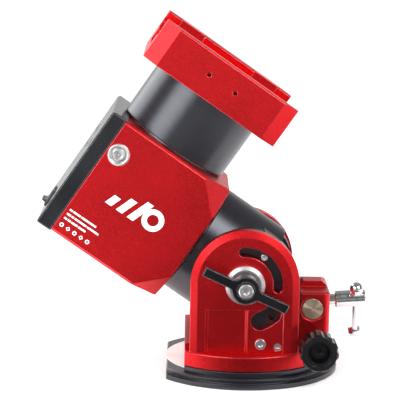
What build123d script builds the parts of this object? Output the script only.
"""Equatorial mount for a small telescope: base, fork, latitude drive, right-ascension head and
declination saddle, each piece as its own solid.

World frame in mm: +Z up, the azimuth axis is Z, and the origin is the middle of the base plate's
underside. The altitude pivot is parallel to Y. The head is drawn in its own frame and then tilted:
there +X runs up the right-ascension axis from the altitude pivot, +Z up the declination axis, and
+Y towards the fork's near side (world -Y).
"""
from build123d import *
from math import atan2, cos, hypot, pi, radians, sin
import os

# ---- driving dimensions (mm, degrees) ----------------------------------------------------------
LATITUDE = 34.27           # tilt of the right-ascension axis as drawn
PIVOT_Z = 71.5             # altitude pivot above the base plate's underside
RUN = 0.05                 # radial clearance of a running fit

BASE_R, BASE_LIP_R = 66.0, 70.0
BASE_FLAT_X = -55.0        # flat cut on the side under the head
LIP_TOP, BASE_TOP = 3.1, 6.5
THREAD_R = 4.0             # tapping size of the 3/8 inch tripod thread
THREAD_DEPTH = 14.0
JOURNAL_R, JOURNAL_TOP = 20.0, 19.0
POST_X, POST_R = 52.5, 4.0

FOOT_R, FOOT_FLAT_X = 62.0, -42.1
RING_TOP, FOOT_TOP, WALL_TOP = 10.0, 21.5, 26.5
CHEEK_IN, CHEEK_OUT, CHEEK_R = 42.4, 51.4, 38.6
SLOT_R, SLOT_W, SLOT_FROM, SLOT_TO = 23.2, 6.6, -6.0, 94.0
NUT_SLOT_R, NUT_SLOT_W = 28.8, 13.0
PANEL_TOP = 52.8           # top of the recessed panels on the cheeks
PIVOT_R, BUSH_R = 8.0, 10.0
WASHER_R, WASHER_T = 14.0, 4.0
LEVER_HUB_R, LEVER_FRONT, LEVER_REACH, LEVER_HALF, LEVER_T = 9.9, -70.6, 32.2, 3.4, 4.4
LEVER_TURN = 24.4          # the near lever's slope as drawn
KNOB_R, KNOB_BACK, KNOB_FRONT, KNOB_LOBES, ADJUSTER_Z = 13.7, -53.0, -69.0, 11, 26.5

BLOCK_X0, BLOCK_X1, BLOCK_Y, BLOCK_TOP = 41.0, 62.3, 27.5, 61.0
RIB_RELIEF = 3.2           # clears the barrel at full tilt
TRUNNION_X, TRUNNION_Z, TRUNNION_R = 49.8, 48.8, 7.5
SCREW_RISE = 4.2           # slope of the altitude screw
SCREW_R = 4.0
NUT_REACH = 29.9           # trunnion to nut, along the screw
NUT_HALF, GROOVE_Y, GROOVE_R = 6.5, 9.3, 17.0

BARREL_R, BARREL_START, BARREL_END, BARREL_SIDE = 42.0, -7.6, 43.2, 42.0
SHOULDER_R, SHOULDER_END, SHOULDER_IN = 37.0, 8.7, 20.0    # the barrel's side discs round the pivot
DEC_U = 95.7               # declination axis, along the right-ascension axis
HEAD_U0, HEAD_U1, HEAD_Y, HEAD_V = 45.6, 134.4, 49.7, 46.75
FACET_LONG, FACET_SHORT = 21.5, 17.0     # what the corner facets take off along the head and across
WALL = 3.5
SPINDLE_R, FLANGE_R = 26.0, 31.0
INSERT_R = 11.0            # counterweight thread insert
COVER_U1, COVER_V = 146.0, 47.5
BUTTON_U, BUTTON_V, BUTTON_R = 125.6, 24.4, 7.8
ROCKER_V, ROCKER_HALF, ROCKER_Y, ROCKER_PIVOT_U = -34.2, 4.9, 10.0, 145.2
PORTS = ((-26, 22, 9.5, 4.4), (-8, 22, 9.5, 4.4), (-17, 8, 12.5, 4.8))   # y, v, width, height
DC_PLACE = (22, 16)        # y and v of the power inlet
MOTOR_SIDE, MOTOR_LENGTH = 35.0, 30.0
RA_MOTOR = (62.0, -26.0, -12.0)      # face, then y and v of the shaft
DEC_MOTOR = (112.0, -22.0, 30.0)     # u and y of the shaft, then face
WAVE_PULLEY_R, MOTOR_PULLEY_R = 15.0, 5.0
BELT_IN, BELT_OUT = 0.25, 1.3        # the belt's inner and outer faces beyond the pulleys
CUP_R, CUP_BORE = 29.3, 28.3         # flexible cup of both strain-wave drives
SPLINE_R, SPLINE_BORE = 37.0, 29.6   # the fixed ring round the cup
WAVE_LONG, WAVE_SHORT = 28.0, 27.6   # radii of the slightly oval plug inside it

DRUM_R, DRUM_V0, DRUM_V1 = 42.0, 48.2, 90.3
SADDLE_HALF, SADDLE_NEAR, SADDLE_FAR, SADDLE_TOP = 55.35, 47.9, -58.0, 120.8
FLOOR_V, STEP_V = 97.5, 106.0
JAW_NEAR, JAW_FAR = 36.0, -46.0
CLAMP_OFFSET, CLAMP_V, CLAMP_R = 33.0, 94.0, 2.5
SIDE_HOLE_R, SIDE_HOLE_DEPTH = 1.65, 8.0

TILT = radians(LATITUDE)
HEAD = Plane((0, 0, PIVOT_Z), x_dir=(-cos(TILT), 0, sin(TILT)), z_dir=(sin(TILT), 0, cos(TILT)))
RISE = radians(SCREW_RISE)
SCREW = Plane((TRUNNION_X, 0, TRUNNION_Z), x_dir=(-sin(RISE), 0, cos(RISE)), z_dir=(cos(RISE), 0, sin(RISE)))
NUT_X = TRUNNION_X - NUT_REACH * cos(RISE)
NUT_Z = TRUNNION_Z - NUT_REACH * sin(RISE)


# ---- small builders ----------------------------------------------------------------------------
def rod(radius, start, end, axis="Z", centre=(0, 0)):
    """A cylinder along a frame axis; centre gives the other two coordinates in X, Y, Z order."""
    a, b = centre
    plane = {
        "X": Plane(origin=(start, a, b), x_dir=(0, 1, 0), z_dir=(1, 0, 0)),
        "Y": Plane(origin=(a, start, b), x_dir=(0, 0, 1), z_dir=(0, 1, 0)),
        "Z": Plane(origin=(a, b, start)),
    }[axis]
    return plane.location * Cylinder(radius, end - start, align=(Align.CENTER, Align.CENTER, Align.MIN))


def tube(outer, inner, start, end, axis="Z", centre=(0, 0)):
    return rod(outer, start, end, axis, centre) - rod(inner, start, end, axis, centre)


def block(x0, x1, y0, y1, z0, z1):
    return Pos((x0 + x1) / 2, (y0 + y1) / 2, (z0 + z1) / 2) * Box(x1 - x0, y1 - y0, z1 - z0)


def prism_xz(points, y0, y1):
    """A polygon in the XZ plane, pushed from y0 to y1."""
    face = make_face(Polyline([(x, y0, z) for x, z in points], close=True))
    return extrude(face, amount=y1 - y0, dir=(0, 1, 0))


def prism_yz(points, x0, x1):
    """A polygon in the YZ plane, pushed from x0 to x1."""
    face = make_face(Polyline([(x0, y, z) for y, z in points], close=True))
    return extrude(face, amount=x1 - x0, dir=(1, 0, 0))


def polar(radius, angle):
    """A point in the XZ plane, about the altitude pivot."""
    return radius * cos(radians(angle)), PIVOT_Z + radius * sin(radians(angle))


def arc_slot(radius, width, start, end, y0, y1):
    """A curved slot about the altitude pivot, with round ends."""
    reach = 2 * (radius + width)
    turns = [start + (end - start) * i / 4 for i in range(5)]
    wedge = prism_xz([(0, PIVOT_Z)] + [polar(reach, t) for t in turns], y0, y1)
    ring = tube(radius + width / 2, radius - width / 2, y0, y1, "Y", (0, PIVOT_Z))
    ends = [rod(width / 2, y0, y1, "Y", polar(radius, t)) for t in (start, end)]
    return (ring & wedge) + ends[0] + ends[1]


def socket_screw(head_r, head_h, shank_r, shank_l, key_r):
    """A socket-head screw: head above Z = 0, shank below."""
    screw = rod(head_r, 0, head_h) + rod(shank_r, -shank_l, 0)
    top = screw.faces().sort_by(Axis.Z)[-1]
    screw = chamfer(top.edges(), head_h * 0.16)
    key = extrude(Plane.XY.offset(head_h * 0.4) * RegularPolygon(key_r, 6), amount=head_h)
    return screw - key


def facing(x, y, z, direction):
    """A location whose Z axis points along a direction."""
    return Plane(origin=(x, y, z), z_dir=direction).location


def both_sides(shape):
    """The shape and its mirror image across the fork's middle plane."""
    return [shape, mirror(shape, Plane.XZ)]


NODES = {}


def keep(node, *shapes, frame=None):
    """Store the solids of one node, placed in the world frame."""
    solids = []
    for shape in shapes:
        placed = frame.location * shape if frame else shape
        solids += placed.solids()
    NODES[node] = solids[0] if len(solids) == 1 else Compound(children=solids)


# ---- base --------------------------------------------------------------------------------------
def flat_disc(radius, z0, z1, flat_x):
    return rod(radius, z0, z1) & block(flat_x, radius, -radius, radius, z0, z1)


def make_base():
    plate = flat_disc(BASE_LIP_R, 0, LIP_TOP, BASE_FLAT_X) + flat_disc(BASE_R, 0, BASE_TOP, BASE_FLAT_X)
    plate = chamfer(plate.faces().sort_by(Axis.Z)[-1].edges(), 0.8)
    plate += rod(JOURNAL_R - 6, 0, THREAD_DEPTH + 2)
    plate -= rod(THREAD_R, 0, THREAD_DEPTH)
    plate -= rod(POST_R, 2, BASE_TOP, "Z", (POST_X, 0))
    keep("base_plate", plate)

    journal = tube(JOURNAL_R, JOURNAL_R - 6, BASE_TOP, JOURNAL_TOP)
    cap = rod(26, JOURNAL_TOP, 21.5) + rod(24.5, 21.5, 22.5)
    places = [(10 * cos(radians(t)), 10 * sin(radians(t))) for t in (30, 150, 270)]
    for place in places:
        cap -= rod(1.5, 19, 23, "Z", place)
    bolts = [Pos(x, y, 22.5) * socket_screw(2.8, 1.8, 1.5, 3, 1.4) for x, y in places]
    keep("azimuth_journal", journal)
    keep("retaining_cap", cap)
    keep("retaining_screws", *bolts)

    post = rod(POST_R, 2, 33, "Z", (POST_X, 0))
    keep("azimuth_post", chamfer(post.faces().sort_by(Axis.Z)[-1].edges(), 0.8))
    washer = tube(56, 26, BASE_TOP, BASE_TOP + 0.5)
    keep("thrust_washer", washer - rod(POST_R, BASE_TOP, BASE_TOP + 0.5, "Z", (POST_X, 0)))


# ---- fork --------------------------------------------------------------------------------------
def make_fork_foot():
    ring = flat_disc(FOOT_R, BASE_TOP + 0.1, RING_TOP, FOOT_FLAT_X)
    ring -= tube(56.5, 25.5, BASE_TOP, BASE_TOP + 0.55)
    ring -= rod(JOURNAL_R + RUN, BASE_TOP, RING_TOP)
    ring -= arc_window(BASE_TOP, RING_TOP)
    keep("azimuth_ring", ring)

    foot = flat_disc(FOOT_R, RING_TOP + 0.8, FOOT_TOP, FOOT_FLAT_X)
    foot += flat_disc(FOOT_R - 1.5, RING_TOP, RING_TOP + 0.8, FOOT_FLAT_X + 1.5)
    foot = chamfer(foot.faces().sort_by(Axis.Z)[-1].edges(), 0.7)
    foot -= rod(JOURNAL_R + RUN, RING_TOP, FOOT_TOP)
    foot -= rod(26.5, JOURNAL_TOP - 0.3, FOOT_TOP + 1)
    foot -= arc_window(RING_TOP, FOOT_TOP)
    keep("fork_foot", foot)

    keep("front_wall", block(FOOT_FLAT_X, -37, -CHEEK_IN, CHEEK_IN, FOOT_TOP, WALL_TOP))


def arc_window(z0, z1):
    """Clearance around the azimuth post over the fine-adjustment travel."""
    return block(POST_X - 5.5, POST_X + 5.5, -9.5, 9.5, z0 - 0.1, z1 + 0.1)


def make_cheeks():
    outline = block(-CHEEK_R, CHEEK_R, -CHEEK_OUT, -CHEEK_IN, FOOT_TOP, PIVOT_Z)
    cheek = outline + rod(CHEEK_R, -CHEEK_OUT, -CHEEK_IN, "Y", (0, PIVOT_Z))
    face = cheek.faces().sort_by(Axis.Y)[0]
    rim = [e for e in face.edges() if e.center().Z > FOOT_TOP + 1]
    cheek = chamfer(rim, 5.0, 1.8, reference=face)
    cheek -= sloped_pocket()
    side = block(2.4, 27.6, -CHEEK_OUT - 1, -CHEEK_OUT + 0.8, FOOT_TOP - 1, PANEL_TOP)
    side -= rod(WASHER_R + 1, -CHEEK_OUT - 1, -CHEEK_IN, "Y", (0, PIVOT_Z))
    cheek -= side
    cheek -= arc_slot(SLOT_R, SLOT_W, SLOT_FROM, SLOT_TO, -CHEEK_OUT - 1, -CHEEK_IN + 1)
    cheek -= arc_slot(NUT_SLOT_R, NUT_SLOT_W, -67.5, -48, -CHEEK_OUT - 1, -CHEEK_IN + 1)
    cheek -= rod(BUSH_R, -CHEEK_OUT - 1, -CHEEK_IN + 1, "Y", (0, PIVOT_Z))
    cheek -= rod(2.5, -CHEEK_OUT - 1, -CHEEK_IN - 2, "Y", (11.6, 28.4))
    cheek -= rod(2.8, -CHEEK_OUT - 1, -CHEEK_IN - 2, "Y", (23.8, 26.2))
    near, far = both_sides(cheek)
    keep("near_cheek", near)
    keep("far_cheek", far)

    bush = tube(BUSH_R, PIVOT_R + RUN, -CHEEK_OUT, -CHEEK_IN, "Y", (0, PIVOT_Z))
    keep("pivot_bushes", *both_sides(bush))
    washer = tube(WASHER_R, PIVOT_R + RUN, -CHEEK_OUT - WASHER_T, -CHEEK_OUT, "Y", (0, PIVOT_Z))
    front = washer.faces().sort_by(Axis.Y)[0]
    washer = chamfer(front.outer_wire().edges(), 2.6, 1.2, reference=front)
    keep("latitude_rings", *both_sides(washer))

    button = facing(11.6, -CHEEK_OUT + 0.8, 28.4, (0, -1, 0)) * socket_screw(4, 2, 2.5, 6, 1.8)
    grub = rod(2.8, -CHEEK_OUT + 1.5, -CHEEK_IN - 2, "Y", (23.8, 26.2))
    grub -= facing(23.8, -CHEEK_OUT + 3.5, 26.2, (0, -1, 0)) * extrude(RegularPolygon(1.5, 6), amount=5)
    keep("cheek_screws", *both_sides(button), *both_sides(grub))


def sloped_pocket():
    """The recessed panel beside the slot: sloping sides, an upright top, open at the foot."""
    x0, x1, depth = -27.6, 2.4, 1.8
    points = [(x0 - 1, -CHEEK_OUT - 1), (x0 + depth, -CHEEK_OUT + depth), (x1 - depth, -CHEEK_OUT + depth),
              (x1 + 1, -CHEEK_OUT - 1)]
    face = make_face(Polyline([(x, y, FOOT_TOP - 1) for x, y in points], close=True))
    return extrude(face, amount=PANEL_TOP - FOOT_TOP + 1, dir=(0, 0, 1))


def make_rear_block():
    body = block(BLOCK_X0, BLOCK_X1, -BLOCK_Y, BLOCK_Y, FOOT_TOP, BLOCK_TOP)
    body = fillet(body.edges().filter_by(Axis.Z).group_by(Axis.X)[-1], 4.5)
    rib = block(BLOCK_X0, BLOCK_X1 - 1.3, -7, 7, BLOCK_TOP, BLOCK_TOP + 4.4)
    rib = chamfer(rib.edges().filter_by(Axis.Y).group_by(Axis.Z)[-1].sort_by(Axis.X)[0], RIB_RELIEF)
    rib = chamfer(rib.edges().filter_by(Axis.Y).group_by(Axis.Z)[-1].sort_by(Axis.X)[-1], 3.4)
    body = chamfer(body.edges().filter_by(Axis.X).group_by(Axis.Z)[-1], 1) + rib
    body -= rod(TRUNNION_R + RUN, -BLOCK_Y - 1, BLOCK_Y + 1, "Y", (TRUNNION_X, TRUNNION_Z))
    for y in (-BLOCK_Y, BLOCK_Y):
        inside = -1 if y > 0 else 1
        lip = Cone(TRUNNION_R + RUN, TRUNNION_R + 1.2, 1.2, align=(Align.CENTER, Align.CENTER, Align.MAX))
        body -= facing(TRUNNION_X, y, TRUNNION_Z, (0, -inside, 0)) * lip
    body -= block(BLOCK_X0 - 1, BLOCK_X1 + 1, -6.4, 6.4, TRUNNION_Z - 7.8, TRUNNION_Z + 7.8)
    body -= block(POST_X - 6, POST_X + 6, -17, 17, FOOT_TOP - 1, 36)
    body -= rod(3 + RUN, -BLOCK_Y - 1, BLOCK_Y + 1, "Y", (POST_X, 26.5))
    keep("rear_block", body)


# ---- right-ascension barrel and its drive ------------------------------------------------------
def make_barrel():
    shoulders = rod(SHOULDER_R, -BARREL_SIDE, BARREL_SIDE, "Y")
    shoulders += block(0, SHOULDER_END, -BARREL_SIDE, BARREL_SIDE, -SHOULDER_R, SHOULDER_R)
    between = block(-60, BARREL_START, -SHOULDER_IN, SHOULDER_IN, -60, 60)
    shoulders -= between - rod(GROOVE_R, -SHOULDER_IN, SHOULDER_IN, "Y")
    barrel = rod(BARREL_R, BARREL_START, BARREL_END, "X") + shoulders
    barrel -= rod(37, 12, BARREL_END, "X")
    barrel = HEAD.location * barrel
    turns = [-140.5, -98, -55, -12, 31.7]
    groove = prism_xz([(0, PIVOT_Z)] + [polar(120, t) for t in turns], -GROOVE_Y, GROOVE_Y)
    barrel -= groove - rod(GROOVE_R, -GROOVE_Y, GROOVE_Y, "Y", (0, PIVOT_Z))
    screw_angle = 90 - LATITUDE
    for side in (-1, 1):
        inner, outer = sorted((side * 33, side * (BARREL_SIDE + 1)))
        barrel -= rod(PIVOT_R, inner, outer, "Y", (0, PIVOT_Z))
        barrel -= rod(2.4, inner, outer, "Y", polar(SLOT_R, screw_angle))
        inner, outer = sorted((side * GROOVE_Y, side * (BARREL_SIDE + 1)))
        barrel -= rod(5, inner, outer, "Y", (NUT_X, NUT_Z))
    keep("ra_barrel", barrel)

    pin = rod(PIVOT_R, -CHEEK_OUT, -33, "Y", (0, PIVOT_Z)) - rod(3, -CHEEK_OUT, -36, "Y", (0, PIVOT_Z))
    keep("pivot_pins", *both_sides(pin))
    place = polar(SLOT_R, screw_angle)
    slot_screw = socket_screw(2.5, 2.2, 2.4, 13, 1.2)
    slot_screw = facing(place[0], -CHEEK_OUT + 4.2, place[1], (0, -1, 0)) * slot_screw
    keep("latitude_screws", *both_sides(slot_screw))
    end = rod(5, -BARREL_SIDE + 0.2, -GROOVE_Y, "Y", (NUT_X, NUT_Z))
    end -= rod(2.6, -BARREL_SIDE + 0.2, -BARREL_SIDE + 4, "Y", (NUT_X, NUT_Z))
    keep("nut_pins", *both_sides(end))


def make_ra_drive():
    spline = tube(SPLINE_R, SPLINE_BORE, 20, 32, "X")
    race = tube(SPLINE_R, SPINDLE_R, 34, 42.4, "X")
    keep("ra_circular_spline", spline, frame=HEAD)
    keep("ra_bearing", race, frame=HEAD)
    cup = tube(CUP_R, CUP_BORE, 20.5, 33.5, "X") + tube(CUP_R, 12, 32.3, 33.5, "X")
    hub = tube(20, 12, 33.5, 35.5, "X")
    keep("ra_flexspline", cup + hub, frame=HEAD)
    spindle = tube(SPINDLE_R - RUN, 21, 35.5, HEAD_U0 + WALL, "X") + tube(21, 12, 35.5, 38, "X")
    flange = tube(FLANGE_R, 21, HEAD_U0 + WALL, HEAD_U0 + WALL + 3, "X")
    keep("ra_spindle", spindle + flange, frame=HEAD)
    wave = elliptic_plug("X", 22, 31, (0, 0))
    wave += rod(5, 16, 60.5, "X") + rod(WAVE_PULLEY_R, 54, 60.5, "X")
    keep("ra_wave_generator", wave, frame=HEAD)


def elliptic_plug(axis, start, end, centre):
    """The slightly oval plug that a strain-wave drive's cup runs on."""
    outline = Ellipse(WAVE_LONG, WAVE_SHORT)
    if axis == "X":
        plane = Plane(origin=(start, centre[0], centre[1]), x_dir=(0, 1, 0), z_dir=(1, 0, 0))
    else:
        plane = Plane(origin=(centre[0], centre[1], start))
    return extrude(plane * outline, amount=end - start)


# ---- head --------------------------------------------------------------------------------------
def corner_cut(sign_y, sign_v, inset, beside=(0, 0, 0)):
    """The slab that slices off one corner at the head's right-ascension end, or the edge beside it."""
    facet = Vector(-1 / FACET_LONG, sign_y / FACET_SHORT, sign_v / FACET_LONG).normalized()
    normal = (facet + Vector(*beside)).normalized()
    point = Vector(HEAD_U0 + FACET_LONG, sign_y * HEAD_Y, sign_v * HEAD_V) - normal * inset
    slab = Box(120, 120, 60, align=(Align.CENTER, Align.CENTER, Align.MIN))
    return Plane(origin=point, z_dir=normal).location * slab


def faceted(shape, inset):
    for sign_y in (-1, 1):
        for sign_v in (-1, 1):
            shape -= corner_cut(sign_y, sign_v, inset)
    return shape


def facet_edges_cut(shape, inset):
    """Narrow bevels where the corner facets meet the long walls."""
    for sign_y in (-1, 1):
        for sign_v in (-1, 1):
            shape -= corner_cut(sign_y, sign_v, inset, beside=(0, sign_y, 0))
            shape -= corner_cut(sign_y, sign_v, inset, beside=(0, 0, sign_v))
    return shape


def make_head():
    shell = block(HEAD_U0, HEAD_U1, -HEAD_Y, HEAD_Y, -HEAD_V, HEAD_V)
    shell = chamfer(shell.edges().filter_by(Axis.X), 1.7)
    shell = chamfer(shell.faces().sort_by(Axis.X)[0].edges(), 1.0)
    shell = facet_edges_cut(faceted(shell, 0), 0.35)
    inner_y, inner_v = HEAD_Y - WALL, HEAD_V - WALL
    shell -= faceted(block(HEAD_U0 + WALL, HEAD_U1 + 1, -inner_y, inner_y, -inner_v, inner_v), WALL)
    shell -= rod(SPINDLE_R, HEAD_U0 - 1, HEAD_U0 + WALL + 1, "X")
    shell -= rod(FLANGE_R, inner_v - 1, HEAD_V + 1, "Z", (DEC_U, 0))
    shell -= rod(INSERT_R, -HEAD_V - 1, -inner_v + 1, "Z", (DEC_U, 0))
    shell -= rod(BUTTON_R, inner_y - 1, HEAD_Y + 1, "Y", (BUTTON_U, BUTTON_V))
    keep("head_housing", shell, frame=HEAD)

    insert = rod(INSERT_R, -HEAD_V, -HEAD_V + 15, "Z", (DEC_U, 0))
    insert = chamfer(insert.faces().sort_by(Axis.Z)[0].edges(), 0.8)
    insert += rod(14, -inner_v, -inner_v + 3, "Z", (DEC_U, 0))
    insert -= rod(5.1, -HEAD_V, -HEAD_V + 12, "Z", (DEC_U, 0))
    keep("counterweight_insert", insert, frame=HEAD)

    bezel = tube(BUTTON_R, 4.6, inner_y - 1.5, HEAD_Y - 0.2, "Y", (BUTTON_U, BUTTON_V))
    bezel -= tube(6.6, 5.8, HEAD_Y - 1.0, HEAD_Y, "Y", (BUTTON_U, BUTTON_V))
    keep("power_button_bezel", bezel, frame=HEAD)
    button = rod(4.6 - RUN, inner_y - 1.5, HEAD_Y - 0.4, "Y", (BUTTON_U, BUTTON_V))
    keep("power_button", chamfer(button.faces().sort_by(Axis.Y)[-1].edges(), 0.5), frame=HEAD)


def make_cover():
    cover = block(HEAD_U1, COVER_U1, -HEAD_Y, HEAD_Y, -COVER_V, COVER_V)
    lower, upper = cover.edges().filter_by(Axis.Y).group_by(Axis.X)[-1].sort_by(Axis.Z)
    cover = fillet(lower, 1.2)
    cover = fillet(cover.edges().filter_by(Axis.Y).group_by(Axis.X)[-1].sort_by(Axis.Z)[-1], 2.4)
    cover = chamfer(cover.edges().filter_by(lambda e: abs(abs(e.center().Y) - HEAD_Y) < 0.01), 0.8)
    cover -= block(HEAD_U1 - 1, COVER_U1 - 3, -HEAD_Y + 3.2, HEAD_Y - 3.2, -COVER_V + 3.5, COVER_V - 3.5)
    cover -= rocker_hole(COVER_U1 - 4, COVER_U1 + 1)
    cover -= rod(0.75, ROCKER_Y - 10, ROCKER_Y + 10, "Y", (ROCKER_PIVOT_U, ROCKER_V))
    for y, z, wide, tall in PORTS:
        cover -= block(COVER_U1 - 4, COVER_U1 + 1, y - wide / 2, y + wide / 2, z - tall / 2, z + tall / 2)
    cover -= rod(4.2, COVER_U1 - 4, COVER_U1 + 1, "X", DC_PLACE)
    places = [(y, z) for y in (-42, 42) for z in (-40, 40)]
    for place in places:
        cover -= cone_x(3.1, 1.6, COVER_U1, COVER_U1 - 1.6, place) + rod(1.6, HEAD_U1, COVER_U1, "X", place)
        cover += tube(5, 1.6, HEAD_U1, COVER_U1 - 2.5, "X", place)
    keep("electronics_cover", cover, frame=HEAD)
    screws = [cone_x(3.0, 1.5, COVER_U1 - 0.1, COVER_U1 - 1.7, place)
              + rod(1.5, HEAD_U1 - 3, COVER_U1 - 1.7, "X", place) for place in places]
    screws = [screw - rod(0.9, COVER_U1 - 1.3, COVER_U1, "X", place) for screw, place in zip(screws, places)]
    keep("cover_screws", *screws, frame=HEAD)

    sockets = []
    for y, z, wide, tall in PORTS:
        shell = block(COVER_U1 - 9, COVER_U1 - 0.4, y - wide / 2 + 0.1, y + wide / 2 - 0.1,
                      z - tall / 2 + 0.1, z + tall / 2 - 0.1)
        shell -= block(COVER_U1 - 8, COVER_U1, y - wide / 2 + 1, y + wide / 2 - 1,
                       z - tall / 2 + 0.9, z + tall / 2 - 0.9)
        sockets.append(shell)
    jack = rod(4.1, COVER_U1 - 11, COVER_U1 - 0.4, "X", DC_PLACE)
    jack -= rod(2.9, COVER_U1 - 9, COVER_U1, "X", DC_PLACE)
    jack += rod(0.9, COVER_U1 - 9, COVER_U1 - 2, "X", DC_PLACE)
    keep("port_sockets", *sockets, jack, frame=HEAD)

    board = block(131, 132.6, -40, 40, -37, 37)
    chips = [block(132.6, 134.4, y - 6, y + 6, z - 6, z + 6) for y, z in ((-18, 12), (14, -14), (22, 16))]
    keep("main_board", board, *chips, frame=HEAD)

    reach = ROCKER_HALF + 1.6
    frame = block(COVER_U1, COVER_U1 + 1.6, ROCKER_Y - 10, ROCKER_Y + 10, ROCKER_V - reach, ROCKER_V + reach)
    frame = chamfer(frame.faces().sort_by(Axis.X)[-1].edges(), 0.5)
    keep("rocker_frame", frame - rocker_hole(COVER_U1 - 4, COVER_U1 + 3), frame=HEAD)
    keep("power_rocker", rocker_body(), frame=HEAD)


def rocker_body():
    """A rocker dished between its two ends, the lower one standing out, on two stub pivots."""
    low, high = ROCKER_V - ROCKER_HALF, ROCKER_V + ROCKER_HALF
    dish = Spline([(147.8, high), (147.2, ROCKER_V), (148.2, low + 2.2), (150.8, low + 1.2)])
    outline = Polyline([(150.8, low + 1.2), (150.8, low + 0.5), (145, low), (143, low + 1.5),
                        (143, high - 1.5), (145, high), (147.8, high)])
    side = Plane(origin=(0, ROCKER_Y - 8.6, 0), x_dir=(1, 0, 0), z_dir=(0, -1, 0))
    rocker = extrude(side * make_face([dish, outline]), amount=-17.2)
    return rocker + rod(0.7, ROCKER_Y - 9.8, ROCKER_Y + 9.8, "Y", (ROCKER_PIVOT_U, ROCKER_V))


def cone_x(outer, inner, start, end, centre):
    """A countersink that narrows from start to end along X."""
    cone = Cone(inner, outer, start - end, align=(Align.CENTER, Align.CENTER, Align.MIN))
    return Plane(origin=(end, centre[0], centre[1]), x_dir=(0, 1, 0), z_dir=(1, 0, 0)).location * cone


def rocker_hole(x0, x1):
    reach = ROCKER_HALF + 0.9
    return block(x0, x1, ROCKER_Y - 9, ROCKER_Y + 9, ROCKER_V - reach, ROCKER_V + reach)


def motor_body():
    """A square motor with its face at Z = 0, body below and shaft above."""
    half = MOTOR_SIDE / 2
    body = block(-half, half, -half, half, -MOTOR_LENGTH, 0)
    body = chamfer(body.edges().filter_by(Axis.Z), 3)
    return body + rod(11, 0, 1)


def belt_loop(distance, big, small, z0, z1):
    """Two discs and the straight runs between them: the big one at the origin, the small along +X."""
    top = pi / 2 - atan2(big - small, distance)
    left = [(big * cos(top), big * sin(top)), (distance + small * cos(top), small * sin(top))]
    right = [(x, -y) for x, y in reversed(left)]
    face = make_face(Polyline(left + right, close=True))
    body = extrude(Plane.XY.offset(z0) * face, amount=z1 - z0)
    return body + rod(big, z0, z1) + rod(small, z0, z1, "Z", (distance, 0))


def belt(distance, z0, z1):
    """A closed belt round the wave generator's pulley and the motor's."""
    outer = belt_loop(distance, WAVE_PULLEY_R + BELT_OUT, MOTOR_PULLEY_R + BELT_OUT, z0, z1)
    return outer - belt_loop(distance, WAVE_PULLEY_R + BELT_IN, MOTOR_PULLEY_R + BELT_IN, z0, z1)


def make_head_drive():
    ra = Plane(origin=RA_MOTOR, x_dir=(0, 1, 0), z_dir=(-1, 0, 0))
    dec = Plane(origin=DEC_MOTOR, z_dir=(0, 0, 1))
    keep("motors", ra.location * motor_body(), dec.location * motor_body(), frame=HEAD)
    pulley = rod(MOTOR_PULLEY_R, 1.8, 8.2) + rod(2.5, 1.2, 9)
    keep("ra_motor_pulley", ra.location * pulley, frame=HEAD)
    keep("dec_motor_pulley", dec.location * Pos(0, 0, 2) * pulley, frame=HEAD)
    ra_reach = hypot(RA_MOTOR[1], RA_MOTOR[2])
    ra_belt = Plane(origin=(0, 0, 0), x_dir=(0, RA_MOTOR[1], RA_MOTOR[2]), z_dir=(1, 0, 0))
    dec_dx, dec_dy = DEC_MOTOR[0] - DEC_U, DEC_MOTOR[1]
    dec_belt = Plane(origin=(DEC_U, 0, 0), x_dir=(dec_dx, dec_dy, 0), z_dir=(0, 0, 1))
    keep("drive_belts", ra_belt.location * belt(ra_reach, 54.5, 60),
         dec_belt.location * belt(hypot(dec_dx, dec_dy), 34.5, 40), frame=HEAD)


def make_dec_drive():
    axis = (DEC_U, 0)
    seat = tube(36, SPLINE_BORE, HEAD_V, 68, "Z", axis)
    seat += tube(FLANGE_R, 27, HEAD_V - WALL, HEAD_V, "Z", axis)
    keep("dec_circular_spline", seat, frame=HEAD)
    keep("dec_bearing", tube(DRUM_R - WALL - RUN, 36, 56, 67, "Z", axis), frame=HEAD)
    cup = tube(CUP_R, CUP_BORE, 57, 82, "Z", axis) + rod(CUP_R, 82, 84, "Z", axis)
    keep("dec_flexspline", cup, frame=HEAD)
    wave = elliptic_plug("Z", 58, 67, axis)
    wave += rod(5, 32, 74, "Z", axis) + rod(WAVE_PULLEY_R, 34, 40.5, "Z", axis)
    keep("dec_wave_generator", wave, frame=HEAD)
    drum = rod(DRUM_R, DRUM_V0, DRUM_V1, "Z", axis)
    drum = chamfer(drum.faces().sort_by(Axis.Z)[0].edges(), 0.6)
    drum -= rod(DRUM_R - WALL, DRUM_V0, 84, "Z", axis)
    for place in saddle_screw_places():
        drum -= rod(2.5, 84, DRUM_V1, "Z", place)
    keep("dec_drum", drum, frame=HEAD)


# ---- saddle ------------------------------------------------------------------------------------
def saddle_screw_places():
    return [(DEC_U + 25 * cos(radians(t)), 25 * sin(radians(t))) for t in (45, 135, 225, 315)]


def jaw_profile(lip, step, mid, outer, floor):
    """Half of the channel: outer wall, dovetail lip, notch and the lower step."""
    way = 1 if outer > lip else -1
    return [(outer, floor), (outer, SADDLE_TOP), (lip + way * 0.8, SADDLE_TOP), (lip, SADDLE_TOP - 0.8),
            (lip, SADDLE_TOP - 2.3), (lip + way * 2.4, SADDLE_TOP - 7.3), (lip + way * 4, SADDLE_TOP - 7.3),
            (lip + way * 4, SADDLE_TOP - 8.8), (lip + way * 1.2, SADDLE_TOP - 8.8), (lip + way * 1.2, STEP_V),
            (step, STEP_V), (step, STEP_V - 1.5), (step + way * 2, FLOOR_V + 1.5), (mid, FLOOR_V + 1.5),
            (mid, floor)]


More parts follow.
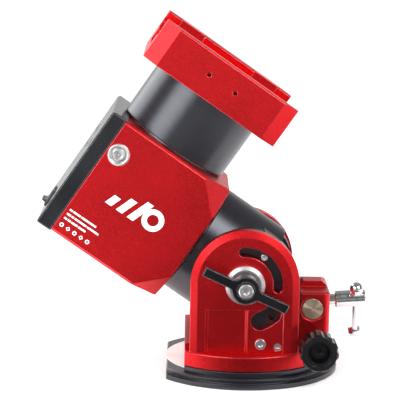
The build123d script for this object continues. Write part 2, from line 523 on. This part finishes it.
def make_saddle():
    u0, u1 = DEC_U - SADDLE_HALF, DEC_U + SADDLE_HALF
    jaw = prism_yz(jaw_profile(JAW_NEAR, 18, 21.5, SADDLE_NEAR, DRUM_V1), u0, u1)
    slab = block(u0, u1, -42, 30, DRUM_V1, FLOOR_V)
    body = jaw + slab
    top_edge = [e for e in body.edges().filter_by(Axis.X)
                if abs(e.center().Y - SADDLE_NEAR) < 0.01 and e.center().Z > SADDLE_TOP - 0.1]
    body = chamfer(top_edge, 0.9)
    body -= end_chamfers(SADDLE_NEAR, 1)
    for place in saddle_screw_places():
        body -= rod(2.5, DRUM_V1, FLOOR_V, "Z", place) + rod(4.6, FLOOR_V - 3.4, FLOOR_V, "Z", place)
    for du in (-CLAMP_OFFSET, CLAMP_OFFSET):
        body -= rod(CLAMP_R + RUN, -45, 20, "Y", (DEC_U + du, CLAMP_V))
    for du in (-11.4, 10.6):
        body -= rod(SIDE_HOLE_R, SADDLE_NEAR - SIDE_HOLE_DEPTH, SADDLE_NEAR, "Y", (DEC_U + du, 106.2))
    keep("saddle_base", body, frame=HEAD)
    screws = [Pos(x, y, FLOOR_V - 3.4) * socket_screw(4.4, 3, 2.5, 9, 2) for x, y in saddle_screw_places()]
    keep("saddle_screws", *screws, frame=HEAD)

    moving = prism_yz(jaw_profile(JAW_FAR, -28, -31.5, SADDLE_FAR, FLOOR_V + 0.1), u0, u1)
    moving += block(u0, u1, SADDLE_FAR, -51, DRUM_V1 + 0.5, FLOOR_V + 0.2)
    moving -= end_chamfers(SADDLE_FAR, -1)
    for du in (-1, 1):
        near, far = sorted((DEC_U + du * 22.4, DEC_U + du * 43.3))
        moving -= block(near, far, JAW_FAR - 1.4, JAW_FAR + 4, SADDLE_TOP - 7.3, SADDLE_TOP + 1)
        moving -= rod(CLAMP_R + RUN, SADDLE_FAR - 1, -50, "Y", (DEC_U + du * CLAMP_OFFSET, CLAMP_V))
    keep("moving_jaw", moving, frame=HEAD)

    for name, du in (("clamp_knob_upper", CLAMP_OFFSET), ("clamp_knob_lower", -CLAMP_OFFSET)):
        place = (DEC_U + du, CLAMP_V)
        knob = rod(8.5, SADDLE_FAR - 18, SADDLE_FAR - 2, "Y", place)
        knob = chamfer(knob.faces().sort_by(Axis.Y)[0].edges(), 1.2)
        for i in range(12):
            turn = radians(30 * i)
            at = (place[0] + 9.6 * cos(turn), place[1] + 9.6 * sin(turn))
            knob -= rod(1.7, SADDLE_FAR - 19, SADDLE_FAR - 1, "Y", at)
        knob += rod(4, SADDLE_FAR - 2, SADDLE_FAR - 0.1, "Y", place)
        knob += rod(CLAMP_R, SADDLE_FAR - 0.1, 8, "Y", place)
        keep(name, knob, frame=HEAD)


def end_chamfers(face_y, way):
    """The wide cuts on the two upright corners of a jaw's outer face."""
    cuts = Part()
    for end in (-1, 1):
        corner = DEC_U + end * SADDLE_HALF
        points = [(corner + end, face_y + way), (corner - end * 11, face_y + way),
                  (corner - end * 11, face_y), (corner, face_y - way * 5), (corner + end, face_y - way * 5)]
        face = make_face(Polyline([(x, y, DRUM_V1 - 1) for x, y in points], close=True))
        cuts += extrude(face, amount=40, dir=(0, 0, 1))
    return cuts


# ---- levers, altitude screw and azimuth knobs --------------------------------------------------
def make_levers():
    """Two-armed lock levers, each on a socket screw that runs into the pivot pin."""
    plan = Circle(LEVER_HUB_R) + Rectangle(2 * LEVER_REACH, 2 * LEVER_HALF)
    inner = [v for v in plan.vertices() if abs(v.X) < LEVER_HUB_R and abs(v.Y) > LEVER_HALF - 0.01]
    plan = fillet(inner, 4)
    plan = fillet([v for v in plan.vertices() if abs(v.X) > LEVER_REACH - 0.01], 1)
    front = Plane(origin=(0, LEVER_FRONT, PIVOT_Z), x_dir=(1, 0, 0), z_dir=(0, -1, 0))
    lever = extrude(front * plan, amount=-LEVER_T)
    lever = chamfer(lever.faces().sort_by(Axis.Y)[0].edges(), 0.5)
    lever += rod(LEVER_HUB_R, LEVER_FRONT + LEVER_T, -CHEEK_OUT - WASHER_T - 0.1, "Y", (0, PIVOT_Z))
    lever -= rod(6.2, LEVER_FRONT - 1, LEVER_FRONT + 1.6, "Y", (0, PIVOT_Z))
    lever -= rod(2.95, LEVER_FRONT - 1, -50, "Y", (0, PIVOT_Z))
    lever = lever.rotate(Axis((0, 0, PIVOT_Z), (0, 1, 0)), LEVER_TURN)
    screw = facing(0, LEVER_FRONT + 1.6, PIVOT_Z, (0, -1, 0)) * socket_screw(5.2, 4.2, 2.9, 31, 2.6)
    for side, levers, screws in zip(("near", "far"), both_sides(lever), both_sides(screw)):
        keep(f"{side}_lock_lever", levers)
        keep(f"{side}_lever_screw", screws)


def make_altitude_screw():
    trunnion = rod(TRUNNION_R, -BLOCK_Y + 0.3, BLOCK_Y - 0.3, "Y", (TRUNNION_X, TRUNNION_Z))
    trunnion -= SCREW.location * rod(SCREW_R + RUN, -12, 12)
    keep("brass_trunnion", trunnion)

    shaft = rod(SCREW_R, -55, 20) + rod(5.6, -9.8, -7.8) + rod(5.6, 7.8, 9.8)
    body = rod(6.2, 18.2, 40.6)
    body = chamfer(body.edges().filter_by(GeomType.CIRCLE), 0.7)
    screw = shaft + body
    lean = radians(42)
    bar_way = Vector(cos(lean), sin(lean), 0)
    bar = Plane(origin=(0, 0, 33.7), x_dir=(0, 0, 1), z_dir=bar_way)
    screw -= bar.location * rod(2.4, -8, 8)
    keep("altitude_screw", screw, frame=SCREW)
    low, high = -43.1, 11.4
    balls = [bar.location * (Pos(0, 0, z) * Sphere(5.1) - rod(2.35, min(a, b), max(a, b)))
             for z, a, b in ((low, low + 3, low + 9), (high, high - 3, high - 9))]
    keep("tee_bar", bar.location * rod(2.35, low + 3, high - 3), *balls, frame=SCREW)

    nut = block(-NUT_HALF, NUT_HALF, -NUT_HALF, NUT_HALF, -NUT_REACH - NUT_HALF, -NUT_REACH + NUT_HALF)
    nut = chamfer(nut.edges().filter_by(Axis.Y), 1.5)
    nut += rod(5, -GROOVE_Y + 0.3, GROOVE_Y - 0.3, "Y", (0, -NUT_REACH))
    nut -= rod(SCREW_R + RUN, -NUT_REACH - 10, -NUT_REACH + 10)
    keep("altitude_nut", nut, frame=SCREW)


def make_azimuth_adjusters():
    """Lobed knobs whose screws bear on the azimuth post from both sides."""
    at = (POST_X, ADJUSTER_Z)
    tip = rod(3.6, -POST_R - 3.1, -POST_R - 0.1, "Y", at)
    tip = chamfer(tip.faces().sort_by(Axis.Y)[-1].edges(), 0.4)
    floor, boss = KNOB_FRONT + 12, KNOB_FRONT + 8.8
    stem = rod(3, boss + 0.3, -POST_R - 3.2, "Y", at)
    stem -= facing(POST_X, boss + 3, ADJUSTER_Z, (0, -1, 0)) * extrude(RegularPolygon(2.2, 6), amount=5)
    knob = rod(KNOB_R, KNOB_FRONT, KNOB_BACK, "Y", at)
    knob = chamfer(knob.faces().sort_by(Axis.Y)[0].edges(), 1.4)
    for i in range(KNOB_LOBES):
        turn = radians(360 / KNOB_LOBES * i + 10)
        notch = (POST_X + (KNOB_R + 1.4) * cos(turn), ADJUSTER_Z + (KNOB_R + 1.4) * sin(turn))
        knob -= rod(2.6, KNOB_FRONT - 1, KNOB_BACK + 1, "Y", notch)
    knob -= rod(9.6, KNOB_FRONT, KNOB_FRONT + 1.6, "Y", at)
    knob -= rod(7.8, KNOB_FRONT, floor, "Y", at)
    knob += rod(5.8, boss, floor, "Y", at)
    knob -= rod(3, KNOB_FRONT - 1, KNOB_BACK + 1, "Y", at)
    for side, tips, stems, knobs in zip(("near", "far"), both_sides(tip), both_sides(stem), both_sides(knob)):
        keep(f"{side}_azimuth_tip", tips)
        keep(f"{side}_azimuth_knob", knobs, stems)


def main():
    for make in (make_base, make_fork_foot, make_cheeks, make_rear_block, make_barrel, make_ra_drive,
                 make_head, make_cover, make_head_drive, make_dec_drive, make_saddle, make_levers,
                 make_altitude_screw, make_azimuth_adjusters):
        make()
    os.makedirs("parts", exist_ok=True)
    for node, shape in NODES.items():
        export_step(shape, f"parts/{node}.step")
    print(len(NODES), "nodes")


main()
